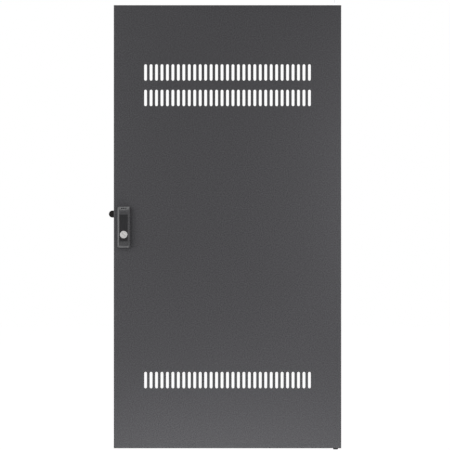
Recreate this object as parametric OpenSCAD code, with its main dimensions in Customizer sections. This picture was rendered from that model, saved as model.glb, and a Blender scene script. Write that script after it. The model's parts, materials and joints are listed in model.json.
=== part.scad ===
// Slotted steel door for a server rack, hung on pin hinges and shut by a swing handle lock.
// Millimetres. X runs to the right seen from the front, the front faces -Y, Z is up.
// The origin lies on the hinge axis, at the lower face of the hinge bush.

/* [Door panel] */
// Width of the folded door
door_w = 500; // [420:1:700]
// Height of the folded door
door_h = 974; // [700:1:2000]
// Depth of the folded edges, front to back
door_d = 20; // [18:0.5:26]
// Thickness of the door's sheet
sheet_t = 1.2; // [1:0.1:1.5]
// Inside radius of the folds
fold_r = 1; // [0.5:0.1:1.5]
// Width of the lips that turn inwards along the back
lip_w = 10; // [8:0.5:10.5]
// Gap of the mitred seam between two lips
seam_gap = 0.8; // [0.4:0.1:1.5]

/* [Ventilation slots] */
// Width of one slot
slot_w = 6; // [4:0.5:8]
// Length of one slot, end to end
slot_len = 36; // [20:1:50]
// Spacing of the slots, centre to centre
slot_pitch = 12; // [10:0.5:13]
// Number of slots in a row
slot_count = 31; // [11:1:31]
// Distance from the top edge down to the middle of the upper row
upper_row_drop = 148; // [100:1:200]
// Distance between the two upper rows
upper_row_gap = 56; // [54:1:90]
// Distance from the bottom edge up to the middle of the lower row
lower_row_rise = 150; // [100:1:200]

/* [Hinges] */
// Distance of the hinge axis from the right edge
hinge_inset = 12; // [11:0.5:16]
// Distance of the hinge axis behind the front face
hinge_setback = 12; // [10:0.5:13]
// Thickness of both hinge brackets
bracket_t = 2; // [1.5:0.1:3]
// Width of both hinge brackets, front to back
bracket_w = 11; // [10:0.1:11.4]
// Height of the upper bracket
upper_bracket_h = 44; // [40:1:70]
// Height of the lower bracket
lower_bracket_h = 30; // [20:1:50]
// Diameter of the hinge pin's shank
pin_d = 6; // [5.5:0.1:6.5]
// Diameter of the pin's turned nose
nose_d = 4.8; // [4:0.1:5.2]
// How far the pin can be pulled down, to clear the frame
pin_travel = 13; // [11:0.5:15]
// Length of the pin's bent grip, beyond the bend
grip_len = 18; // [12:1:30]
// Radius of the pin's bend, along its middle
bend_r = 9; // [7:0.5:12]
// Wire diameter of the pin's spring
wire_d = 0.8; // [0.6:0.05:0.9]
// Coils of the pin's spring
spring_coils = 10; // [6:1:12]
// Diameter of the retaining clip
clip_d = 10.4; // [9.8:0.2:11]
// Thickness of the retaining clip
clip_t = 0.9; // [0.8:0.1:1.2]
// Diameter of the washer under the clip
pin_washer_d = 11.4; // [11.2:0.1:11.8]
// Thickness of the washer under the clip
pin_washer_t = 1; // [0.6:0.1:1.5]
// Diameter of the frame's pin that the lower bush turns on
frame_pin_d = 6; // [5:0.1:6.2]
// Diameter of the bush's shank
bush_d = 8; // [7.8:0.1:9]
// Length of the bush, with its flange
bush_len = 12; // [10:0.5:16]
// Diameter of the bush's flange
bush_flange_d = 11; // [10.5:0.5:14]
// Thickness of the bush's flange
bush_flange_t = 3; // [2:0.5:5]

/* [Swing handle] */
// Distance of the spindle axis from the left edge
lock_inset = 22.2; // [21:0.1:24]
// Height of the spindle axis above the middle of the door
lock_rise = 28; // [0:1:60]
// Width of the handle
handle_w = 27; // [26:0.5:30]
// Height of the handle above the spindle axis
handle_above = 16; // [15:0.5:17]
// Radius of the handle's corners, seen from the front
handle_corner_r = 3.5; // [2:0.5:5]
// Thickness of the handle's base plate
base_t = 3; // [2.8:0.1:4]
// Thickness of the lever
lever_t = 9.8; // [9.6:0.1:12]
// Height of the lever's straight sides, above its back
lever_side_h = 5.8; // [5.6:0.1:7]
// Radius of the lever's end, about the spindle axis
lever_end_r = 60; // [59:0.5:62]
// Gap between the lever's end and the fixed block
arc_gap = 0.6; // [0.5:0.1:1]
// Length of the fixed block, below the lever's end
block_len = 13.4; // [12:0.2:20]
// Width of the sunken panel along the handle
inlay_w = 18.2; // [16:0.2:19]
// Depth of the sunken panel
inlay_depth = 0.8; // [0.4:0.1:0.9]
// Width of the flat rim beside the sunken panel
rim_w = 0.8; // [0.4:0.1:1.2]
// Height of the sunken panel's arched top above the spindle axis
inlay_top = 3.7; // [1:0.1:5]
// Radius of the sunken panel's arched top
inlay_arch_r = 11; // [10:0.5:16]
// Distance from the arched top down to the insert plate's straight top edge
insert_drop = 4.9; // [3:0.1:8]
// Thickness of the insert plate
insert_t = 0.5; // [0.3:0.05:0.7]
// Gap around the insert plate
insert_gap = 0.3; // [0.2:0.05:0.5]
// Length of the sloping crown at the lever's top
crown_len = 10; // [8:0.5:11]
// Drop of the sloping crown at its outer edge
crown_drop = 3.7; // [2:0.1:4]
// Length of the slope at the fixed block's foot
foot_len = 5; // [3:0.5:8]
// Drop of the slope at the fixed block's foot
foot_drop = 3.7; // [2:0.1:5]
// Greatest tilt of the lever out of its rest, in degrees
tilt_max = 35; // [25:1:38]

/* [Lever pivot and spindle] */
// Height of the lever's pivot above the spindle axis
pivot_rise = 9; // [8:0.5:9.5]
// Distance of the lever's pivot in front of the base plate
pivot_stand = 4.6; // [4.5:0.1:4.8]
// Diameter of the pivot pin
pivot_d = 3; // [2:0.1:3.4]
// Length of the pivot pin
pivot_len = 25; // [23:0.5:26]
// Diameter of the spindle
spindle_d = 12; // [11.6:0.1:13]
// Diameter of the spindle's hub
hub_d = 18; // [16:0.5:18]
// Thickness of the spindle's hub
hub_t = 2.2; // [1.8:0.1:2.4]
// Width of the lug that carries the pivot
lug_w = 12; // [9:0.5:12.5]
// Half height of the lug around the pivot
lug_r = 3; // [2.4:0.1:3.1]
// Size across the flats of the spindle's square end
square_w = 8; // [7:0.1:8.2]
// Diameter of the housing's sleeve around the spindle
sleeve_d = 20; // [19:0.5:22]
// Length of the sleeve behind the door's front face
sleeve_len = 18; // [17:0.5:20]

/* [Lock cylinder and bolt] */
// Distance of the lock cylinder above the lever's end
cylinder_rise = 14.8; // [14.5:0.1:20]
// Diameter of the lock cylinder
cylinder_d = 16; // [15:0.5:17]
// Height of the lock cylinder's face above the lever's face
cylinder_stand = 0.3; // [0:0.1:1]
// Width of the bevelled ring around the plug's face
ring_bevel = 0.5; // [0.3:0.1:0.8]
// Diameter of the plug that the key turns
plug_d = 11; // [10:0.5:12]
// Width of the keyway
keyway_w = 1.6; // [1:0.1:2]
// Length of the keyway
keyway_len = 7.6; // [6:0.2:8]
// Depth of the keyway
keyway_depth = 5; // [3:0.5:6]
// Slant of the keyway at rest, in degrees from upright
keyway_slant = 40; // [0:5:90]
// Distance of the plug's drive pin from the plug's axis
drive_r = 2.2; // [1.8:0.1:2.4]
// Diameter of the plug's drive pin
drive_d = 2.2; // [1.8:0.1:2.4]
// Width of the bolt's head
bolt_w = 10; // [9.6:0.1:10.6]
// Width of the bolt's tongue
tongue_w = 7; // [5:0.1:7.4]
// Thickness of the bolt
bolt_t = 2.3; // [1.8:0.1:2.5]
// Thickness of the plate that keeps the bolt in the lever
back_plate_t = 0.8; // [0.6:0.1:1]
// Width of that plate
back_plate_w = 16.4; // [15.6:0.1:17]
// Diameter of that plate's screws
small_screw_d = 2; // [1.6:0.1:2.2]
// Head diameter of that plate's screws
small_head_d = 3.8; // [3:0.1:4]

/* [Latch cam and mounting] */
// Reach of the covered cam, from the spindle axis to its tip
cam_reach = 33.9; // [31:0.1:40]
// Width of the cam over its cover
cam_cover_w = 15.5; // [14:0.1:17]
// Length of the cam's cover
cam_cover_len = 17; // [12:0.5:18]
// Thickness of the cam
cam_t = 3; // [2.5:0.1:3.5]
// Step of the cranked cam, front to back
cam_crank = 3.2; // [2.8:0.1:4]
// Side wall of the cam's cover
cover_wall = 1.3; // [1:0.1:1.6]
// Front and back wall of the cam's cover
cover_skin = 1.4; // [1:0.1:1.6]
// Diameter of the cam's root
cam_root_d = 17; // [15:0.5:18]
// Thickness of the stop plate
stop_t = 2; // [1.5:0.1:2.5]
// Width of the stop plate's nose
stop_nose_w = 5; // [4:0.1:6]
// Diameter of the washer under the cam's screw
cam_washer_d = 14; // [12:0.5:16]
// Thickness of the washer under the cam's screw
cam_washer_t = 1; // [0.8:0.1:2]
// Diameter of the cam's screw
cam_screw_d = 6; // [5:0.1:6]
// Length of the cam's screw under its head
cam_screw_len = 12; // [10:0.5:16]
// Size across the flats of the cam screw's head
cam_head_w = 10; // [8:0.5:11]
// Height of the cam screw's head
cam_head_h = 4; // [3:0.5:5]
// Width of the clamp behind the sheet
clamp_w = 30; // [28:0.5:32]
// Height of the clamp above the spindle axis
clamp_above = 15; // [13:0.5:20]
// Distance of the clamp's lower end above the handle's foot
clamp_foot = 4; // [0:0.5:5]
// Thickness of the clamp
clamp_t = 1.5; // [1.2:0.1:2]
// Depth of the clamp's folded sides
clamp_d = 6; // [4:0.5:8]
// Distance of the upper mounting screw below the spindle axis
upper_screw_drop = 17.5; // [17:0.5:25]
// Distance of the lower mounting screw above the handle's foot
lower_screw_rise = 10; // [9:0.5:14]
// Diameter of the mounting screws
mount_screw_d = 4; // [3:0.1:4]
// Length of the mounting screws under their heads
mount_screw_len = 4.6; // [4:0.1:5]
// Head diameter of the mounting screws
mount_head_d = 7.6; // [7:0.1:8]
// Diameter of the housing's screw posts
post_d = 8; // [7:0.5:8]

/* [Fits] */
// Radial clearance of parts that turn or slide in a bore
run_gap = 0.05; // [0.02:0.01:0.09]
// Radial clearance of parts that are pressed or screwed in
press_gap = 0.01; // [0.01:0.005:0.03]
// Clearance around parts that pass through a hole
pass_gap = 0.2; // [0.1:0.05:0.3]
// Gap between faces that turn or slide past each other
face_gap = 0.2; // [0.15:0.05:0.3]

/* [Hidden] */
$fn = 64;
// Overlength of a cutting tool beyond the surface it cuts
over = 1;
// Small clearance inside the castings, and between faces that only come near each other
slack = 0.1;
// Clearance of pockets and ends that stay free all round
room = 0.3;

// The door's faces
x_right = hinge_inset;
x_left = x_right - door_w;
x_mid = (x_left + x_right) / 2;
y_front = -hinge_setback;
y_sheet = y_front + sheet_t;
y_back = y_front + door_d;
z_low = bush_flange_t;
z_high = z_low + door_h;
z_mid = (z_low + z_high) / 2;

// The upper hinge, from the top down
flange_under = z_high - sheet_t;
upper_leg_under = flange_under - bracket_t;
clip_top = upper_leg_under - face_gap;
washer_top = clip_top - clip_t;
spring_top = washer_top - pin_washer_t;
lower_leg_under = flange_under - upper_bracket_h;
spring_foot = lower_leg_under + bracket_t;
shoulder_rise = 0.4;
shoulder_z = z_high + shoulder_rise;
drawn_tip_drop = 1;
nose_tip_z = z_high - drawn_tip_drop + pin_travel;
nose_chamfer = 0.8;
groove_depth = 0.6;
groove_d = pin_d - 2 * groove_depth;
straight_below = 6;
grip_z = lower_leg_under - straight_below - bend_r;
spring_gap = 0.6;
spring_mid_d = pin_d + 2 * spring_gap + wire_d;

// The lower hinge
flange_top = z_low + sheet_t;
lower_leg_top = flange_top + bracket_t;

// The spindle axis
lock_x = x_left + lock_inset;
lock_z = z_mid + lock_rise;

// Depths of the lock, counted from the door's front face, negative towards the front
base_y = -base_t;
lever_back = base_y - face_gap;
lever_face = lever_back - lever_t;
lever_edge = lever_back - lever_side_h;
inlay_y = lever_face + inlay_depth;
pivot_y = base_y - pivot_stand;
hub_back = base_y - face_gap / 2;
hub_face = hub_back - hub_t;
lug_foot_rise = 2;
lug_foot = -hub_d / 2 + lug_foot_rise;
plate_face = lever_back - back_plate_t;
bolt_back = plate_face - face_gap / 2;
bolt_face = bolt_back - bolt_t;
bolt_floor = bolt_face - face_gap;
stop_y = sleeve_len + room;
cam_y = stop_y + stop_t;
cam_washer_y = cam_y + cam_t;
cam_head_y = cam_washer_y + cam_washer_t;
clamp_y = sheet_t;
clamp_back = clamp_y + clamp_t;
block_r = lever_end_r + arc_gap;

// The plate on the lever's back, measured from the bolt's ends
back_plate_foot = 2;
back_plate_above = 10;
small_screw_inset = 2.6;
upper_small_screw = 6.8;
lower_small_screw = 4;
small_screw_len = 3;

// Places along the handle, as distances below the spindle axis
handle_below = block_r + block_len;
cylinder_drop = lever_end_r - cylinder_rise;
lower_screw_drop = handle_below - lower_screw_rise;
clamp_below = handle_below - clamp_foot;

// The key's quarter turn carries the drive pin from 45 degrees above to 45 degrees below
bolt_travel = drive_r * sqrt(2);
head_above = 3.7;
head_below = 5.5;
drawn_gap = 0.6;
bolt_top = -cylinder_drop + head_above;
bolt_shoulder = -cylinder_drop - head_below;
bolt_end = -lever_end_r + drawn_gap;

// The ring behind the sleeve that bounds the stop plate's turn
stop_ring_t = 1.8;
stop_ring_in_d = sleeve_d - 2 * stop_ring_t;

// The cam, as distances from the spindle axis
cover_r = cam_cover_w / 2;
cam_end_r = cover_r - cover_wall - face_gap / 2;
cam_end = cam_reach - cover_r;
crank_start = 1.5;
crank_run = 4;
crank_lean = 0.9;
crank_from = cam_root_d / 2 + crank_start;
crank_to = crank_from + crank_run;
cam_far_y = cam_y + cam_crank;
cover_front = cam_far_y - face_gap / 2 - cover_skin;
cover_back = cam_far_y + cam_t + face_gap / 2 + cover_skin;

// Colours
powder_black = [0.20, 0.20, 0.21];
cast_black = [0.15, 0.15, 0.16];
plastic_black = [0.07, 0.07, 0.07];
zinc_steel = [0.72, 0.73, 0.75];
bright_steel = [0.80, 0.80, 0.81];

// Extrusion of a shape drawn in Y and Z, along X
module extrude_x(from, to) {
    translate([from, 0, 0]) rotate([90, 0, 90]) linear_extrude(to - from) children();
}

// Extrusion of a shape drawn in X and Z, along Y
module extrude_y(from, to) {
    translate([0, to, 0]) rotate([90, 0, 0]) linear_extrude(to - from) children();
}

// Extrusion of a shape drawn in X and Y, along Z
module extrude_z(from, to) {
    translate([0, 0, from]) linear_extrude(to - from) children();
}

// Round bar along X
module rod_x(from, to, d) {
    translate([from, 0, 0]) rotate([0, 90, 0]) cylinder(h = to - from, d = d);
}

// Round bar along Y
module rod_y(from, to, d) {
    translate([0, from, 0]) rotate([-90, 0, 0]) cylinder(h = to - from, d = d);
}

// Round bar along Z
module rod_z(from, to, d) {
    translate([0, 0, from]) cylinder(h = to - from, d = d);
}

// Rectangle between two corners, with round corners
module round_rect(low, high, r) {
    translate([low.x + r, low.y]) square([high.x - low.x - 2 * r, high.y - low.y]);
    translate([low.x, low.y + r]) square([high.x - low.x, high.y - low.y - 2 * r]);
    for (x = [low.x + r, high.x - r], y = [low.y + r, high.y - r])
        translate([x, y]) circle(r);
}

// Moves a shape from the lock's own frame to the door
module at_lock() {
    translate([lock_x, y_front, lock_z]) children();
}

// The pan as a solid block, shrunk by an inset on every side
module pan_block(inset) {
    r = fold_r + sheet_t - inset;
    intersection() {
        extrude_z(z_low + inset, z_high - inset)
            round_rect([x_left + inset, y_front + inset], [x_right - inset, y_back - inset], r);
        extrude_x(x_left + inset, x_right - inset)
            round_rect([y_front + inset, z_low + inset], [y_back - inset, z_high - inset], r);
    }
}

// One row of upright slots with round ends, about a height
module slot_row(z) {
    straight = slot_len - slot_w;
    for (i = [0 : slot_count - 1])
        translate([x_mid + (i - (slot_count - 1) / 2) * slot_pitch, z]) {
            square([slot_w, straight], center = true);
            for (end = [-straight / 2, straight / 2])
                translate([0, end]) circle(d = slot_w);
        }
}

// Mitred seams of the four corners, seen from the back
module lip_seams() {
    seam_len = 2 * (sqrt(2) * lip_w - over);
    for (x = [x_left, x_right], z = [z_low, z_high]) {
        turn = (x == x_left) == (z == z_low) ? 45 : -45;
        translate([x, z]) rotate(turn) square([seam_len, seam_gap], center = true);
    }
}

// Front sheet, folded edges and lips in one piece
module door_panel() {
    color(powder_black) difference() {
        pan_block(0);
        pan_block(sheet_t);
        extrude_y(y_back - sheet_t - over, y_back + over)
            translate([x_left + lip_w, z_low + lip_w])
                square([door_w - 2 * lip_w, door_h - 2 * lip_w]);
        extrude_y(y_back - sheet_t, y_back + over) intersection() {
            lip_seams();
            translate([x_left + sheet_t, z_low + sheet_t])
                square([door_w - 2 * sheet_t, door_h - 2 * sheet_t]);
        }
        extrude_y(y_front - over, y_sheet + over) {
            slot_row(z_high - upper_row_drop);
            slot_row(z_high - upper_row_drop - upper_row_gap);
            slot_row(z_low + lower_row_rise);
        }
        rod_z(flange_under - over, z_high + over, pin_d + 2 * pass_gap);
        rod_z(z_low - over, flange_top + over, bush_d + 2 * pass_gap);
        at_lock() {
            rod_y(-over, door_d + over, sleeve_d + 2 * pass_gap);
            for (drop = [upper_screw_drop, lower_screw_drop])
                translate([0, 0, -drop]) rod_y(-over, sheet_t + over, post_d + 2 * pass_gap);
        }
    }
}

// Plan of a bracket leg: straight from the folded edge, round about the hinge axis
module leg_plan() {
    translate([0, -bracket_w / 2]) square([x_right - sheet_t, bracket_w]);
    circle(d = bracket_w);
}

// Folded U that guides the upper pin
module upper_hinge_bracket() {
    x_wall = x_right - sheet_t;
    reach = -bracket_w / 2 - over;
    color(powder_black) difference() {
        intersection() {
            extrude_z(lower_leg_under, flange_under) leg_plan();
            extrude_y(-bracket_w / 2, bracket_w / 2) difference() {
                round_rect([reach - 4 * over, lower_leg_under], [x_wall, flange_under],
                           fold_r + bracket_t);
                round_rect([reach - 5 * over, lower_leg_under + bracket_t],
                           [x_wall - bracket_t, upper_leg_under], fold_r);
            }
        }
        rod_z(lower_leg_under - over, flange_under + over, pin_d + 2 * run_gap);
    }
}

// Sliding pin: turned nose, shank with a clip groove, bend and grip
module upper_hinge_pin() {
    bend_z = grip_z + bend_r;
    color(bright_steel) {
        difference() {
            union() {
                rod_z(bend_z, shoulder_z, pin_d);
                rod_z(shoulder_z, nose_tip_z - nose_chamfer, nose_d);
                translate([0, 0, nose_tip_z - nose_chamfer])
                    cylinder(h = nose_chamfer, d1 = nose_d, d2 = nose_d - 2 * nose_chamfer);
            }
            difference() {
                rod_z(washer_top, clip_top, pin_d + over);
                rod_z(washer_top - over, clip_top + over, groove_d);
            }
        }
        translate([-bend_r, 0, bend_z]) rotate([90, 0, 0]) rotate([0, 0, -90])
            rotate_extrude(angle = 90) translate([bend_r, 0]) circle(d = pin_d);
        translate([0, 0, grip_z]) rod_x(-bend_r - grip_len, -bend_r, pin_d);
        translate([-bend_r - grip_len, 0, grip_z]) sphere(d = pin_d);
    }
}

// Points of the spring's wire, one ring of them at a height and turn
function wire_ring(turn, z, sides) = [
    for (k = [0 : sides - 1])
        let (a = 360 * k / sides, out = spring_mid_d / 2 + wire_d / 2 * cos(a))
        [out * cos(turn), out * sin(turn), z + wire_d / 2 * sin(a)]
];

// Rise of the spring along its length: one closed coil at each end, even pitch between
function spring_rise(coil) =
    let (free = spring_top - spring_foot - 3 * wire_d)
    coil < 1 ? wire_d * coil
    : coil > spring_coils - 1 ? wire_d + free + wire_d * (coil - spring_coils + 1)
    : wire_d + free * (coil - 1) / (spring_coils - 2);

// Compression spring around the upper pin
module upper_pin_spring() {
    sides = 8;
    steps = 14;
    count = spring_coils * steps;
    points = [
        for (i = [0 : count])
            each wire_ring(360 * i / steps,
                           spring_foot + wire_d / 2 + spring_rise(i / steps), sides)
    ];
    skin = [
        for (i = [0 : count - 1], k = [0 : sides - 1])
            let (next = (k + 1) % sides)
            each [
                [i * sides + k, i * sides + next, (i + 1) * sides + next],
                [i * sides + k, (i + 1) * sides + next, (i + 1) * sides + k]
            ]
    ];
    foot_cap = [[for (k = [sides - 1 : -1 : 0]) k]];
    head_cap = [[for (k = [0 : sides - 1]) count * sides + k]];
    color(bright_steel) polyhedron(points, concat(skin, foot_cap, head_cap));
}

// Washer that the spring bears on
module upper_spring_washer() {
    color(zinc_steel) difference() {
        rod_z(spring_top, washer_top, pin_washer_d);
        rod_z(spring_top - over, washer_top + over, pin_d + 2 * run_gap);
    }
}

// Open retaining clip in the pin's groove
module upper_pin_clip() {
    back_t = 1.2;
    relief_w = 2.6;
    relief_r = clip_d / 2 - back_t;
    mouth = groove_d - 2 * room;
    color(zinc_steel) extrude_z(washer_top, clip_top) difference() {
        circle(d = clip_d);
        circle(d = groove_d + 2 * press_gap);
        translate([-mouth / 2, 0]) square([mouth, clip_d]);
        for (a = [-30, 210])
            intersection() {
                rotate(a) translate([groove_d / 2, -relief_w / 2])
                    square([relief_r - groove_d / 2, relief_w]);
                circle(relief_r);
            }
    }
}

// Welded angle that carries the bush
module lower_hinge_bracket() {
    x_wall = x_right - sheet_t;
    reach = -bracket_w / 2 - 5 * over;
    rise = flange_top + lower_bracket_h;
    color(powder_black) difference() {
        intersection() {
            extrude_z(flange_top, rise) leg_plan();
            extrude_y(-bracket_w / 2, bracket_w / 2) difference() {
                round_rect([reach, flange_top], [x_wall, rise + 5 * over], fold_r + bracket_t);
                round_rect([reach - over, lower_leg_top],
                           [x_wall - bracket_t, rise + 6 * over], fold_r);
            }
        }
        rod_z(flange_top - over, lower_leg_top + over, bush_d + 2 * press_gap);
    }
}

// Flanged bush with a snap lip above the bracket
module lower_hinge_bush() {
    edge_r = 0.8;
    lip_out = 0.4;
    lip_in = 0.2;
    lip_flat = 0.3;
    lip_len = 2;
    r_in = frame_pin_d / 2 + run_gap;
    r_shank = bush_d / 2;
    r_flange = bush_flange_d / 2;
    lip_z = lower_leg_top + slack;
    color(plastic_black) rotate_extrude() {
        translate([r_in, 0]) square([r_flange - edge_r - r_in, z_low]);
        translate([r_in, edge_r]) square([r_flange - r_in, z_low - edge_r]);
        translate([r_flange - edge_r, edge_r]) circle(edge_r);
        translate([r_in, 0]) square([r_shank - r_in, bush_len]);
        polygon([
            [r_shank - lip_in, lip_z], [r_shank + lip_out, lip_z],
            [r_shank + lip_out, lip_z + lip_flat], [r_shank - lip_in, lip_z + lip_len]
        ]);
    }
}

// Outline of the handle, seen from the front
module handle_outline() {
    round_rect([-handle_w / 2, -handle_below], [handle_w / 2, handle_above], handle_corner_r);
}

// Section across the handle: straight sides, bevels and a flat face
module handle_section() {
    half = handle_w / 2;
    face_half = inlay_w / 2 + rim_w;
    polygon([
        [-half, over], [-half, lever_edge], [-face_half, lever_face],
        [face_half, lever_face], [half, lever_edge], [half, over]
    ]);
}

// Sunken panel of the handle, with its arched top
module inlay_cut() {
    extrude_y(lever_face - over, inlay_y) intersection() {
        translate([-inlay_w / 2, -handle_below]) square([inlay_w, handle_below + inlay_top]);
        union() {
            translate([0, inlay_top - inlay_arch_r]) circle(inlay_arch_r);
            translate([-inlay_w / 2, -handle_below])
                square([inlay_w, handle_below + inlay_top - inlay_arch_r]);
        }
    }
}

// Base plate, fixed block, spindle sleeve with its stop and screw posts
module lock_housing() {
    post_end = sheet_t - pass_gap;
    nose_side = stop_nose_w / 2 + slack;
    window = nose_side + sleeve_d / 2 + over;
    block_foot = -handle_below + foot_len;
    slot_half = tongue_w / 2 + room;
    slot_end = bolt_end - bolt_travel - 2 * room;
    color(cast_black) at_lock() difference() {
        union() {
            extrude_y(base_y, 0) handle_outline();
            intersection() {
                extrude_y(lever_face, 0) handle_outline();
                extrude_z(-handle_below, 0) handle_section();
                extrude_x(-handle_w, handle_w) polygon([
                    [0, -handle_below], [lever_face + foot_drop, -handle_below],
                    [lever_face, block_foot], [lever_face, 0], [0, 0]
                ]);
                difference() {
                    translate([-handle_w, lever_face, -handle_below])
                        cube([2 * handle_w, -lever_face, handle_below]);
                    rod_y(lever_face - over, base_y, 2 * block_r);
                }
            }
            rod_y(-over, sleeve_len, sleeve_d);
            difference() {
                rod_y(sleeve_len - over, cam_y - room, sleeve_d);
                rod_y(sleeve_len, cam_y, stop_ring_in_d);
                translate([-nose_side, sleeve_len, -nose_side])
                    cube([window, over + stop_t, window]);
            }
            for (drop = [upper_screw_drop, lower_screw_drop])
                translate([0, 0, -drop]) rod_y(-over, post_end, post_d);
        }
        difference() {
            inlay_cut();
            rod_y(lever_face - 2 * over, base_y, 2 * block_r - over);
        }
        rod_y(base_y - over, sleeve_len + over, spindle_d + 2 * run_gap);
        for (drop = [upper_screw_drop, lower_screw_drop])
            translate([0, 0, -drop])
                rod_y(clamp_back - mount_screw_len - room, post_end + over,
                      mount_screw_d + 2 * press_gap);
        translate([-slot_half, bolt_face - room, slot_end])
            cube([2 * slot_half, bolt_t + 2 * room, -block_r - slot_end + 3 * over]);
    }
}

// Swing lever with its sunken panel and the pockets on its back
module handle_lever() {
    tilt_gap = 0.45;
    nose_plane = pivot_stand - tilt_gap;
    channel_half = bolt_w / 2 + slack;
    tongue_half = tongue_w / 2 + slack;
    channel_end = bolt_shoulder - bolt_travel - room - slack;
    hub_half = hub_d / 2 + room + pass_gap;
    hub_top = pivot_rise + lug_r + 3 * room;
    hub_front = hub_face - room - slack;
    lug_half = lug_w / 2 + room;
    lug_front = pivot_y - lug_r - room;
    lug_pocket_foot = lug_foot - over;
    screw_hole_len = small_screw_len + pass_gap;
    color(cast_black) at_lock() difference() {
        intersection() {
            extrude_y(lever_face, lever_back) handle_outline();
            extrude_z(-handle_below, handle_above) handle_section();
            extrude_x(-handle_w, handle_w) polygon([
                [0, -handle_below], [lever_face, -handle_below],
                [lever_face, handle_above - crown_len],
                [lever_face + crown_drop, handle_above], [0, handle_above]
            ]);
            rod_y(lever_face, lever_back, 2 * lever_end_r);
        }
        inlay_cut();
        // Slope behind the top, so that the lever can tilt
        translate([0, pivot_y, pivot_rise]) rotate([tilt_max, 0, 0])
            translate([-handle_w, nose_plane, -handle_w / 2]) cube(2 * handle_w);
        // Pocket of the hub and of the lug
        translate([-hub_half, hub_front, -hub_half])
            cube([2 * hub_half, over - hub_front, hub_half + hub_top]);
        translate([-lug_half, lug_front, lug_pocket_foot])
            cube([2 * lug_half, over - lug_front, hub_top - lug_pocket_foot]);
        translate([0, pivot_y, pivot_rise])
            rod_x(-pivot_len / 2, handle_w, pivot_d + 2 * press_gap);
        // Seat of the lock cylinder, channel of the bolt, recess of the back plate
        translate([0, 0, -cylinder_drop]) rod_y(lever_face - over, bolt_floor,
                                                cylinder_d + 2 * press_gap);
        translate([-channel_half, bolt_floor, channel_end])
            cube([2 * channel_half, over - bolt_floor, bolt_top + room - channel_end]);
        translate([-tongue_half, bolt_floor, -handle_below])
            cube([2 * tongue_half, over - bolt_floor, handle_below + bolt_shoulder]);
        extrude_y(plate_face, over) back_plate_outline(slack);
        for (spot = small_screw_spots())
            translate([spot.x, 0, spot.y])
                rod_y(plate_face - screw_hole_len, over, small_screw_d + 2 * press_gap);
    }
}

// Insert plate in the sunken panel, around the lock cylinder
module handle_inlay() {
    half = inlay_w / 2 - insert_gap;
    top = inlay_top - insert_drop;
    corner_r = 0.8;
    color(plastic_black) at_lock() difference() {
        extrude_y(inlay_y - insert_t, inlay_y) intersection() {
            round_rect([-half, -lever_end_r - over], [half, top], corner_r);
            circle(lever_end_r - 3 * insert_gap, $fn = 128);
        }
        translate([0, 0, -cylinder_drop]) rod_y(lever_face, 0, cylinder_d + 2 * pass_gap);
    }
}

// Outline of the plate on the lever's back, with a margin
module back_plate_outline(margin) {
    corner_r = 1;
    half = back_plate_w / 2 + margin;
    round_rect([-half, bolt_end + back_plate_foot - margin],
               [half, bolt_top + back_plate_above + margin], corner_r + margin);
}

// Places of the plate's two screws
function small_screw_spots() = [
    [-back_plate_w / 2 + small_screw_inset, bolt_top + upper_small_screw],
    [back_plate_w / 2 - small_screw_inset, bolt_end + lower_small_screw]
];

// Thin plate that keeps the bolt in the lever
module lever_back_plate() {
    color(zinc_steel) at_lock() difference() {
        extrude_y(plate_face, lever_back) back_plate_outline(0);
        for (spot = small_screw_spots())
            translate([spot.x, lever_back + press_gap, spot.y]) rotate([90, 0, 0])
                cylinder(h = back_plate_t + 2 * press_gap, d1 = small_head_d + slack,
                         d2 = small_screw_d + 2 * slack);
    }
}

// The plate's two countersunk screws
module back_plate_screws() {
    drive_w = 0.5;
    drive_depth = 0.4;
    color(zinc_steel) at_lock() for (spot = small_screw_spots())
        translate([spot.x, lever_back, spot.y]) {
            rotate([90, 0, 0]) difference() {
                cylinder(h = back_plate_t, d1 = small_head_d, d2 = small_screw_d);
                translate([-small_head_d, -drive_w / 2, -over])
                    cube([2 * small_head_d, drive_w, over + drive_depth]);
            }
            rod_y(-back_plate_t - small_screw_len, -back_plate_t, small_screw_d);
        }
}

// Cross pin that the lever tilts on
module lever_pivot_pin() {
    color(bright_steel) at_lock() translate([0, pivot_y, pivot_rise])
        rod_x(-pivot_len / 2, pivot_len / 2, pivot_d);
}

// Turning shaft: lug, hub, round shaft and square end
module spindle() {
    square_end = cam_washer_y - slack;
    color(zinc_steel) at_lock() difference() {
        union() {
            rod_y(hub_face, hub_back, hub_d);
            rod_y(hub_back - over, sleeve_len + slack, spindle_d);
            translate([-square_w / 2, sleeve_len, -square_w / 2])
                cube([square_w, square_end - sleeve_len, square_w]);
            translate([-lug_w / 2, pivot_y - lug_r, lug_foot])
                cube([lug_w, hub_back - over / 2 - pivot_y + lug_r, pivot_rise - lug_foot]);
            translate([0, pivot_y, pivot_rise]) rod_x(-lug_w / 2, lug_w / 2, 2 * lug_r);
        }
        translate([0, pivot_y, pivot_rise])
            rod_x(-lug_w, lug_w, pivot_d + 2 * run_gap);
        rod_y(cam_head_y - cam_screw_len - room, square_end + over, cam_screw_d + 2 * press_gap);
    }
}

// Bright barrel of the lock, seated in the lever
module lock_cylinder() {
    face = lever_face - cylinder_stand;
    edge = 0.4;
    color(bright_steel) at_lock() translate([0, 0, -cylinder_drop]) difference() {
        union() {
            rod_y(face + edge, bolt_floor, cylinder_d);
            translate([0, face + edge, 0]) rotate([90, 0, 0])
                cylinder(h = edge, d1 = cylinder_d, d2 = cylinder_d - 2 * edge);
        }
        rod_y(face - over, bolt_floor + over, plug_d + 2 * run_gap);
        translate([0, face + ring_bevel, 0]) rotate([90, 0, 0])
            cylinder(h = ring_bevel + over, d1 = plug_d, d2 = plug_d + 2 * (ring_bevel + over));
    }
}

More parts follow.
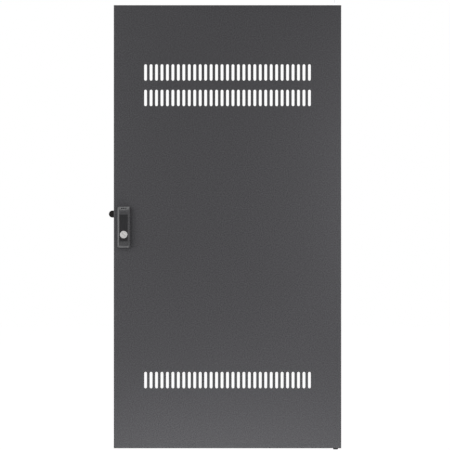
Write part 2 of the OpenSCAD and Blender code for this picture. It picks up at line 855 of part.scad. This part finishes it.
// Plug with its keyway and drive pin
module cylinder_plug() {
    face = lever_face - cylinder_stand;
    color(bright_steel) at_lock() translate([0, 0, -cylinder_drop]) {
        difference() {
            rod_y(face, bolt_floor, plug_d);
            rotate([0, -keyway_slant, 0])
                translate([-keyway_w / 2, face - over, -keyway_len / 2])
                    cube([keyway_w, keyway_depth + over, keyway_len]);
        }
        rotate([0, -45, 0]) translate([drive_r, 0, 0])
            rod_y(bolt_floor - over, bolt_back - slack, drive_d);
    }
}

// Sliding bolt: slotted head and tongue, drawn back into the lever
module lock_bolt() {
    pin_x = drive_r / sqrt(2);
    slot_from = pin_x - drive_d / 2 - pass_gap;
    slot_to = drive_r + drive_d / 2 + pass_gap;
    slot_h = drive_d + room;
    color(zinc_steel) at_lock() difference() {
        union() {
            extrude_y(bolt_face, bolt_back) translate([-bolt_w / 2, bolt_shoulder])
                square([bolt_w, bolt_top - bolt_shoulder]);
            extrude_y(bolt_face, bolt_back) translate([-tongue_w / 2, bolt_end])
                square([tongue_w, bolt_shoulder - bolt_end + over]);
        }
        translate([slot_from, bolt_face - over, -cylinder_drop + pin_x - slot_h / 2])
            cube([slot_to - slot_from, bolt_t + 2 * over, slot_h]);
    }
}

// Square hole that fits the spindle's end
module square_hole() {
    w = square_w + 2 * run_gap;
    translate([-w / 2, -w / 2]) square(w);
}

// Plate on the spindle's square, whose nose stops a quarter turn each way
module stop_plate() {
    disc_d = stop_ring_in_d - 2 * pass_gap;
    tip_d = sleeve_d - 2 * pass_gap;
    color(zinc_steel) at_lock() extrude_y(stop_y, cam_y) difference() {
        union() {
            circle(d = disc_d);
            intersection() {
                translate([0, -stop_nose_w / 2]) square([sleeve_d, stop_nose_w]);
                circle(d = tip_d);
            }
        }
        square_hole();
    }
}

// Front view of the cam's bar, without its root
module cam_bar(r) {
    translate([-cam_end, -r]) square([cam_end, 2 * r]);
    translate([-cam_end, 0]) circle(r);
}

// Cranked steel cam
module latch_cam() {
    far_back = cam_far_y + cam_t;
    tip = -cam_end - cam_end_r;
    color(zinc_steel) at_lock() intersection() {
        extrude_y(cam_y, far_back) difference() {
            union() {
                circle(d = cam_root_d);
                cam_bar(cam_end_r);
            }
            square_hole();
        }
        extrude_z(-cam_root_d, cam_root_d) polygon([
            [cam_root_d, cam_y], [-crank_from, cam_y], [-crank_to, cam_far_y],
            [tip - over, cam_far_y], [tip - over, far_back], [-crank_to + crank_lean, far_back],
            [-crank_from + crank_lean, cam_washer_y], [cam_root_d, cam_washer_y]
        ]);
    }
}

// Black cap on the cam's end
module cam_cover() {
    mouth = -cam_reach + cam_cover_len;
    color(plastic_black) at_lock() difference() {
        intersection() {
            extrude_y(cover_front, cover_back) cam_bar(cover_r);
            translate([-cam_reach - over, cover_front - over, -cam_cover_w])
                cube([mouth + cam_reach + over, cover_back - cover_front + 2 * over,
                      2 * cam_cover_w]);
        }
        extrude_y(cam_far_y - face_gap / 2, cam_far_y + cam_t + face_gap / 2)
            cam_bar(cam_end_r + face_gap / 2);
    }
}

// Washer under the cam's screw
module cam_washer() {
    color(zinc_steel) at_lock() difference() {
        rod_y(cam_washer_y, cam_head_y, cam_washer_d);
        rod_y(cam_washer_y - over, cam_head_y + over, cam_screw_d + 2 * pass_gap);
    }
}

// Hexagon screw in the spindle's end
module cam_screw() {
    color(zinc_steel) at_lock() {
        translate([0, cam_head_y, 0]) rotate([-90, 0, 0])
            cylinder(h = cam_head_h, d = cam_head_w / cos(30), $fn = 6);
        rod_y(cam_head_y - cam_screw_len, cam_head_y, cam_screw_d);
    }
}

// Folded plate that clamps the sheet against the housing
module mounting_clamp() {
    half = clamp_w / 2;
    side_end = clamp_y + clamp_d;
    color(zinc_steel) at_lock() difference() {
        extrude_z(-clamp_below, clamp_above) difference() {
            round_rect([-half, clamp_y], [half, side_end + 5 * over], fold_r + clamp_t);
            round_rect([-half + clamp_t, clamp_back], [half - clamp_t, side_end + 6 * over], fold_r);
            translate([-clamp_w, side_end]) square([2 * clamp_w, 10 * over]);
        }
        rod_y(clamp_y - over, clamp_back + over, sleeve_d + 2 * pass_gap);
        for (drop = [upper_screw_drop, lower_screw_drop])
            translate([0, 0, -drop])
                rod_y(clamp_y - over, clamp_back + over, mount_screw_d + 2 * pass_gap);
    }
}

// Pan head screw with a cross recess, below the spindle axis by a drop
module mount_screw(drop) {
    head_h = 2.4;
    edge = 0.8;
    recess_w = 4;
    recess_t = 0.8;
    recess_depth = 1.4;
    color(zinc_steel) at_lock() translate([0, clamp_back, -drop]) difference() {
        union() {
            rod_y(-mount_screw_len, 0, mount_screw_d);
            rod_y(0, head_h - edge, mount_head_d);
            translate([0, head_h - edge, 0]) rotate([-90, 0, 0])
                cylinder(h = edge, d1 = mount_head_d, d2 = mount_head_d - 2 * edge);
        }
        for (turn = [0, 90])
            rotate([0, turn, 0])
                translate([-recess_w / 2, head_h - recess_depth, -recess_t / 2])
                    cube([recess_w, recess_depth + over, recess_t]);
    }
}

module mounting_screw_upper() {
    mount_screw(upper_screw_drop);
}

module mounting_screw_lower() {
    mount_screw(lower_screw_drop);
}

door_panel();
upper_hinge_bracket();
upper_hinge_pin();
upper_pin_spring();
upper_spring_washer();
upper_pin_clip();
lower_hinge_bracket();
lower_hinge_bush();
lock_housing();
handle_lever();
handle_inlay();
lever_pivot_pin();
spindle();
lock_cylinder();
cylinder_plug();
lock_bolt();
lever_back_plate();
back_plate_screws();
stop_plate();
latch_cam();
cam_cover();
cam_washer();
cam_screw();
mounting_clamp();
mounting_screw_upper();
mounting_screw_lower();
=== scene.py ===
import json
import math
import random

import bmesh
import bpy
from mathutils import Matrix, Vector


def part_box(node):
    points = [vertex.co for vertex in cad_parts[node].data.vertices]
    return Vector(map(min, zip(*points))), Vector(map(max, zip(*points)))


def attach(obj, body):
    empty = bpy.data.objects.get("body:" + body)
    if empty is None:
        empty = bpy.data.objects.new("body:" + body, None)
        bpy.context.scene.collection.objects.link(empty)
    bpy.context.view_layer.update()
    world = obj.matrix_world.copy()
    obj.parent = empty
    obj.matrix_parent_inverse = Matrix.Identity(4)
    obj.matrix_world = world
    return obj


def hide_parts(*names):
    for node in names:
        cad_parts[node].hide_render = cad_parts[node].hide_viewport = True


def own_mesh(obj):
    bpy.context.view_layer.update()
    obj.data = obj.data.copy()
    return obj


# ---------------------------------------------------------------- the frame

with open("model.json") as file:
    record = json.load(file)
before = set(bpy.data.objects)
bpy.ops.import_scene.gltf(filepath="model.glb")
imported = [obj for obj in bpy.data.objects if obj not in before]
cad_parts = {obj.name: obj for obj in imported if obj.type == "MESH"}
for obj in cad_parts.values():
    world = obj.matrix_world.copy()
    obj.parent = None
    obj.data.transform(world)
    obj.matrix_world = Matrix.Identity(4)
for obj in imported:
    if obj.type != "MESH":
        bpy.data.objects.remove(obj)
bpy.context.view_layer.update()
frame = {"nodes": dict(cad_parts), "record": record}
nodes = frame["nodes"]
record = frame["record"]
MM = 0.001

panel_low, panel_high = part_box("door_panel")
panel_mid = (panel_low + panel_high) / 2
centre = Vector((panel_mid.x, panel_low.y, panel_mid.z))

SHEET = 1.2 * MM


# ---------------------------------------------------------------- materials

class Shader:
    """A material's node tree, with short calls for the nodes used here."""

    def __init__(self, name):
        self.material = bpy.data.materials.new(name)
        self.material.use_nodes = True
        self.tree = self.material.node_tree
        self.bsdf = self.tree.nodes["Principled BSDF"]
        coords = self.tree.nodes.new("ShaderNodeTexCoord")
        self.place = coords.outputs["Object"]

    def link(self, source, target):
        self.tree.links.new(source, target)

    def noise(self, scale, detail=2.0, stretch=(1, 1, 1), rough=0.5):
        """Noise with about scale cells to the metre, drawn out along an axis by a small stretch."""
        mapping = self.tree.nodes.new("ShaderNodeMapping")
        mapping.inputs["Scale"].default_value = stretch
        node = self.tree.nodes.new("ShaderNodeTexNoise")
        node.inputs["Scale"].default_value = scale
        node.inputs["Detail"].default_value = detail
        node.inputs["Roughness"].default_value = rough
        self.link(self.place, mapping.inputs["Vector"])
        self.link(mapping.outputs["Vector"], node.inputs["Vector"])
        return node.outputs["Fac"]

    def spread(self, source, low, high, from_low=0.3, from_high=0.7):
        """Maps the middle of a texture's range to low to high."""
        node = self.tree.nodes.new("ShaderNodeMapRange")
        node.inputs["From Min"].default_value = from_low
        node.inputs["From Max"].default_value = from_high
        node.inputs["To Min"].default_value = low
        node.inputs["To Max"].default_value = high
        self.link(source, node.inputs["Value"])
        return node.outputs["Result"]

    def blend(self, factor, one, two):
        """Colour one where factor is 0 and colour two where it is 1."""
        node = self.tree.nodes.new("ShaderNodeMix")
        node.data_type = "RGBA"
        for socket, value in ((node.inputs[6], one), (node.inputs[7], two)):
            if isinstance(value, tuple):
                socket.default_value = (*value, 1.0)
            else:
                self.link(value, socket)
        self.link(factor, node.inputs[0])
        return node.outputs[2]

    def bump(self, height, strength, depth, under=None):
        """Bump of a depth in metres, on top of another bump's normal."""
        node = self.tree.nodes.new("ShaderNodeBump")
        node.inputs["Strength"].default_value = strength
        node.inputs["Distance"].default_value = depth
        self.link(height, node.inputs["Height"])
        if under is not None:
            self.link(under, node.inputs["Normal"])
        return node.outputs["Normal"]

    def set(self, **values):
        """Constants and links on the shader's own sockets."""
        for name, value in values.items():
            socket = self.bsdf.inputs[name.replace("_", " ").title().replace("Ior", "IOR")]
            if isinstance(value, bpy.types.NodeSocket):
                self.link(value, socket)
            elif isinstance(value, tuple):
                socket.default_value = (*value, 1.0)
            else:
                socket.default_value = value


def powder_coat():
    """Fine-textured matt black powder coat, with a faint orange peel."""
    s = Shader("powder_coat")
    clouds = s.spread(s.noise(7.0, detail=3.0), 0.0, 1.0)
    grain = s.noise(900.0, detail=3.0, rough=0.65)
    mottle = s.noise(420.0, detail=2.0, rough=0.6)
    peel = s.noise(330.0, detail=1.0)
    tone = s.blend(clouds, (0.034, 0.0335, 0.0358), (0.038, 0.0375, 0.0402))
    patches = s.blend(s.spread(mottle, 0.0, 1.0), (0.017, 0.0167, 0.0185), (0.056, 0.0555, 0.060))
    colour = s.blend(s.spread(clouds, 0.70, 0.85, 0.0, 1.0), tone, patches)
    s.set(
        base_color=colour,
        roughness=s.spread(peel, 0.50, 0.62),
        specular_ior_level=0.16,
        normal=s.bump(grain, 0.35, 0.12 * MM, s.bump(peel, 0.25, 0.2 * MM)),
    )
    return s.material


def handle_coat():
    """Smooth satin black coat on a zinc casting."""
    s = Shader("handle_coat")
    peel = s.noise(420.0, detail=1.5)
    clouds = s.spread(s.noise(60.0, detail=3.0), 0.0, 1.0)
    tone = s.blend(clouds, (0.026, 0.026, 0.028), (0.034, 0.034, 0.036))
    s.set(
        base_color=tone,
        roughness=s.spread(peel, 0.24, 0.34),
        specular_ior_level=0.30,
        normal=s.bump(peel, 0.15, 0.05 * MM),
    )
    return s.material


def inlay_black():
    """Glossy black insert, faintly wavy and with fine wiping marks."""
    s = Shader("inlay_black")
    wave = s.noise(150.0, detail=1.0)
    wiped = s.noise(700.0, detail=3.0, stretch=(1.0, 1.0, 0.12))
    s.set(
        base_color=s.blend(s.spread(wiped, 0.0, 1.0), (0.012, 0.012, 0.013), (0.018, 0.018, 0.019)),
        roughness=s.spread(wiped, 0.14, 0.22),
        specular_ior_level=0.14,
        normal=s.bump(wave, 0.3, 0.08 * MM),
    )
    return s.material


def plated(name, low, high, roughness, streaks=(1, 1, 1), grain=1400.0):
    """Plated steel with fine streaks along an axis."""
    s = Shader(name)
    lines = s.noise(grain, detail=4.0, stretch=streaks, rough=0.6)
    cloud = s.spread(s.noise(90.0, detail=3.0), 0.0, 1.0)
    s.set(
        base_color=s.blend(cloud, low, high),
        metallic=1.0,
        roughness=s.spread(lines, roughness - 0.07, roughness + 0.09),
        normal=s.bump(lines, 0.25, 0.02 * MM),
    )
    return s.material


def black_nylon():
    """Moulded black nylon with a fine spark-eroded grain."""
    s = Shader("black_nylon")
    grain = s.noise(1600.0, detail=2.0, rough=0.6)
    s.set(
        base_color=s.blend(s.spread(grain, 0.0, 1.0), (0.007, 0.006, 0.006), (0.012, 0.010, 0.010)),
        roughness=s.spread(s.noise(200.0), 0.42, 0.55),
        specular_ior_level=0.08,
        normal=s.bump(grain, 0.3, 0.04 * MM),
    )
    return s.material


finishes = {
    "powder_coat": powder_coat(),
    "handle_coat": handle_coat(),
    "chromed": plated("chromed", (0.46, 0.455, 0.45), (0.53, 0.525, 0.52), 0.28),
    "zinc_plate": plated("zinc_plate", (0.50, 0.51, 0.54), (0.60, 0.60, 0.61), 0.30),
    "spring_steel": plated("spring_steel", (0.38, 0.38, 0.40), (0.48, 0.48, 0.49), 0.26),
    "black_nylon": black_nylon(),
    "inlay_black": inlay_black(),
}

for part in record["subparts"]:
    shown = nodes[part["node"]].data
    shown.materials.clear()
    shown.materials.append(finishes[part["material_slot"]])


# ---------------------------------------------------------------- softened edges

def soften(node, width, segments=2, angle=28.0):
    """Breaks the sharp edges of a CAD node as it is shown."""
    o = nodes[node]
    weld = o.modifiers.new("Weld", "WELD")
    weld.merge_threshold = 0.002 * MM
    flat = o.modifiers.new("Flat", "DECIMATE")
    flat.decimate_type = "DISSOLVE"
    flat.angle_limit = math.radians(0.3)
    bevel = o.modifiers.new("Bevel", "BEVEL")
    bevel.width = width
    bevel.segments = segments
    bevel.limit_method = "ANGLE"
    bevel.angle_limit = math.radians(angle)
    bevel.miter_outer = "MITER_ARC"
    bevel.use_clamp_overlap = True
    normals = o.modifiers.new("Normals", "WEIGHTED_NORMAL")
    normals.keep_sharp = False
    normals.weight = 60


EDGE_BREAKS = {
    "handle_lever": 0.5 * MM,
    "lock_housing": 0.5 * MM,
    "cam_cover": 0.6 * MM,
    "latch_cam": 0.25 * MM,
    "mounting_clamp": 0.15 * MM,
    "stop_plate": 0.15 * MM,
    "upper_hinge_bracket": 0.2 * MM,
    "lower_hinge_bracket": 0.2 * MM,
}
for node, width in EDGE_BREAKS.items():
    soften(node, width)


# ---------------------------------------------------------------- added pieces

SPRING_WIRE = 0.8 * MM
SPRING_COILS = 10
SPRING_STEPS = 40          # rings of points in one coil
SPRING_SIDES = 14          # points in one ring

WELD_LEG = 1.7 * MM
WELD_STEP = 0.35 * MM      # between one ring of points and the next
WELD_RIPPLE = 1.6 * MM     # length of one ripple
WELD_SINK = 0.1 * MM       # how far the root lies inside the metal
WELD_END = 4 * MM          # bracket left bare at each end
WELD_ARC = 8               # facets across the bead

def new_piece(name, mesh, body, slot_name):
    """Puts a mesh into the scene as a piece that rides on a body."""
    piece = bpy.data.objects.new(name, mesh)
    bpy.context.scene.collection.objects.link(piece)
    mesh.materials.append(finishes[slot_name])
    for polygon in mesh.polygons:
        polygon.use_smooth = True
    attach(piece, body)
    return piece


def ring_strip(rings):
    """Mesh of quads between closed rings of points, with both ends capped."""
    sides = len(rings[0])
    points = [p for ring in rings for p in ring]
    faces = []
    for i in range(len(rings) - 1):
        for k in range(sides):
            n = (k + 1) % sides
            faces.append((i * sides + k, i * sides + n, (i + 1) * sides + n, (i + 1) * sides + k))
    faces.append(tuple(range(sides - 1, -1, -1)))
    last = (len(rings) - 1) * sides
    faces.append(tuple(last + k for k in range(sides)))
    mesh = bpy.data.meshes.new("strip")
    mesh.from_pydata(points, [], faces)
    bm = bmesh.new()
    bm.from_mesh(mesh)
    bmesh.ops.recalc_face_normals(bm, faces=bm.faces)
    bm.to_mesh(mesh)
    bm.free()
    return mesh


def make_spring():
    """Round-wire compression spring with closed ends, built once at the CAD spring's length."""
    low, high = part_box("upper_pin_spring")
    wire = SPRING_WIRE
    mean_r = (high.x - low.x - wire) / 2
    coils, steps, sides = SPRING_COILS, SPRING_STEPS, SPRING_SIDES
    free = high.z - low.z - 4 * wire
    rings = []
    for i in range(coils * steps + 1):
        turn = i / steps
        rise = min(turn, 1.0) + max(turn - coils + 1, 0.0)
        z = low.z + wire / 2 + wire * rise
        z += (free + wire) * min(max((turn - 1) / (coils - 2), 0.0), 1.0)
        around = Vector((math.cos(math.tau * turn), math.sin(math.tau * turn), 0))
        rings.append([
            around * (mean_r + wire / 2 * math.cos(math.tau * k / sides))
            + Vector((0, 0, z + wire / 2 * math.sin(math.tau * k / sides)))
            for k in range(sides)
        ])
    spring = new_piece("coil_spring", ring_strip(rings), "door", "spring_steel")
    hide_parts("upper_pin_spring")
    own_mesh(spring)


def weld_bead(name, start, end, leg, corner, seed):
    """Fillet weld with overlapping ripples, from start to end, in the corner between two faces."""
    rng = random.Random(seed)
    along = end - start
    length = along.length
    along = along.normalized()
    side_a, side_b = corner
    count = max(int(length / WELD_STEP), 12)
    rings = []
    for i in range(count + 1):
        t = i / count
        taper = min(1.0, 6 * t + 0.25, 6 * (1 - t) + 0.25)
        ripple = 0.5 + 0.5 * math.cos(math.tau * t * length / WELD_RIPPLE)
        size = leg * taper * (0.88 + 0.14 * ripple + 0.05 * rng.uniform(-1, 1))
        middle = start + along * (t * length)
        ring = [middle - (side_a + side_b) * WELD_SINK]
        for k in range(WELD_ARC + 1):
            turn = math.pi / 2 * k / WELD_ARC
            bulge = 1.0 - 0.22 * math.sin(2 * turn)
            reach = side_a * math.cos(turn) + side_b * math.sin(turn)
            ring.append(middle + reach * size * bulge)
        rings.append(ring)
    new_piece(name, ring_strip(rings), "door", "powder_coat")


def make_welds():
    """The beads that hold both hinge brackets to the pan's folded edges."""
    wall = panel_high.x - SHEET
    for name, node in (("upper", "upper_hinge_bracket"), ("lower", "lower_hinge_bracket")):
        low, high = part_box(node)
        for side, y, out in (("front", low.y, -1), ("back", high.y, 1)):
            corner = (Vector((0, out, 0)), Vector((-1, 0, 0)))
            start = Vector((wall, y, low.z + WELD_END))
            end = Vector((wall, y, high.z - WELD_END))
            weld_bead(f"{name}_weld_{side}", start, end, WELD_LEG, corner, seed=len(name) + out)


make_spring()
make_welds()


# ---------------------------------------------------------------- stage, light and camera

EVEN_LIGHT = 0.12
FLOOR_GLOW = 0.90
FLOOR_DROP = 0.30          # the hung door's foot above the floor
FLOOR_HALF = 14.0
FLOOR_COLOUR = (0.85, 0.85, 0.85, 1.0)
SEEN_WHITE = ("Is Camera Ray", "Is Glossy Ray", "Is Transmission Ray")

LENS = 200.0
SENSOR = 36.0
DOOR_SHARE = 0.5057        # the door's width as a share of the picture's
AIM = Vector((-5.5, 0, 3.8)) * MM

# Each lamp's place and target, both counted from the middle of the door's face, then its width,
# height and power in watts.
LAMPS = {
    "key_left": ((-1.35, -1.75, 0.30), (0, 0, 0), 0.6, 0.8, 15),
    "side_left": ((-0.76, -0.38, 0.10), (-0.1, 0, 0), 0.2, 0.9, 3.6),
    "side_right": ((0.66, -0.34, 0.08), (0.15, 0, 0), 0.2, 0.6, 5.4),
    "top": ((-0.12, -1.52, 1.38), (0, 0, 0.1), 0.6, 0.6, 10),
    "rim_left": ((-1.6, 0.25, 0.05), (-0.25, 0, 0), 0.7, 1.4, 7),
    "rim_right": ((1.3, 0.22, 0.05), (-0.25, 0, 0), 0.7, 1.4, 6),
    "bounce": ((0.0, -0.26, -0.60), (0, 0, -0.42), 0.8, 0.22, 2.5),
    "behind": ((0.9, 2.0, 0.9), (0, 0, 0), 1.6, 1.6, 28),
}

def white_rays(tree, kinds):
    """1 for the named kinds of ray, as Light Path gives them, and 0 for all others."""
    path = tree.nodes.new("ShaderNodeLightPath")
    total = path.outputs[kinds[0]]
    for kind in kinds[1:]:
        both = tree.nodes.new("ShaderNodeMath")
        both.operation = "MAXIMUM"
        tree.links.new(total, both.inputs[0])
        tree.links.new(path.outputs[kind], both.inputs[1])
        total = both.outputs[0]
    return total


def make_floor(drop, half):
    """Matt white floor below the hung door, white to the camera and keeping soft shadows."""
    mesh = bpy.data.meshes.new("floor")
    corners = [(-half, -half, 0), (half, -half, 0), (half, half, 0), (-half, half, 0)]
    shift = Vector((panel_mid.x, 0, -drop))
    mesh.from_pydata([Vector(c) + shift for c in corners], [], [(0, 1, 2, 3)])
    floor = bpy.data.objects.new("floor", mesh)
    bpy.context.scene.collection.objects.link(floor)
    material = bpy.data.materials.new("floor")
    material.use_nodes = True
    tree = material.node_tree
    tree.nodes.clear()
    out = tree.nodes.new("ShaderNodeOutputMaterial")
    matt = tree.nodes.new("ShaderNodeBsdfDiffuse")
    light = tree.nodes.new("ShaderNodeEmission")
    both = tree.nodes.new("ShaderNodeAddShader")
    glow = tree.nodes.new("ShaderNodeMath")
    glow.operation = "MULTIPLY"
    glow.inputs[1].default_value = FLOOR_GLOW
    matt.inputs["Color"].default_value = FLOOR_COLOUR
    seen = white_rays(tree, SEEN_WHITE)
    tree.links.new(seen, glow.inputs[0])
    tree.links.new(glow.outputs[0], light.inputs["Strength"])
    tree.links.new(matt.outputs[0], both.inputs[0])
    tree.links.new(light.outputs[0], both.inputs[1])
    tree.links.new(both.outputs[0], out.inputs["Surface"])
    mesh.materials.append(material)


def make_world():
    """White studio: white to be seen, mirrored or looked at through glass, and an even soft light."""
    world = bpy.data.worlds.new("studio")
    bpy.context.scene.world = world
    world.use_nodes = True
    tree = world.node_tree
    tree.nodes.clear()
    out = tree.nodes.new("ShaderNodeOutputWorld")
    even = tree.nodes.new("ShaderNodeBackground")
    white = tree.nodes.new("ShaderNodeBackground")
    both = tree.nodes.new("ShaderNodeMixShader")
    even.inputs["Strength"].default_value = EVEN_LIGHT
    white.inputs["Strength"].default_value = 1.0
    for background in (even, white):
        background.inputs["Color"].default_value = (1.0, 1.0, 1.0, 1.0)
    seen = white_rays(tree, SEEN_WHITE)
    tree.links.new(seen, both.inputs["Fac"])
    tree.links.new(even.outputs[0], both.inputs[1])
    tree.links.new(white.outputs[0], both.inputs[2])
    tree.links.new(both.outputs[0], out.inputs["Surface"])


def area_light(name, place, target, width, height, power):
    """Soft lamp at a place, turned to a target, both counted from the middle of the door's face."""
    data = bpy.data.lights.new(name, "AREA")
    data.shape = "RECTANGLE"
    data.size = width
    data.size_y = height
    data.energy = power
    lamp = bpy.data.objects.new(name, data)
    lamp.location = centre + Vector(place)
    lamp.rotation_euler = (Vector(target) - Vector(place)).to_track_quat("-Z", "Y").to_euler()
    lamp.visible_camera = False
    bpy.context.scene.collection.objects.link(lamp)


def make_camera(lens, view_width, aim):
    """Level camera in front of the door, whose frame is view_width wide at the door's face."""
    data = bpy.data.cameras.new("camera")
    data.lens = lens
    data.sensor_width = SENSOR
    distance = view_width * lens / SENSOR
    camera = bpy.data.objects.new("camera", data)
    camera.location = (aim.x, panel_low.y - distance, aim.z)
    camera.rotation_euler = (math.radians(90), 0, 0)
    bpy.context.scene.collection.objects.link(camera)
    bpy.context.scene.camera = camera


make_floor(FLOOR_DROP, FLOOR_HALF)
make_world()
for name, lamp in LAMPS.items():
    area_light(name, *lamp)
make_camera(LENS, (panel_high.x - panel_low.x) / DOOR_SHARE, centre + AIM)
bpy.context.scene.view_settings.view_transform = "Standard"
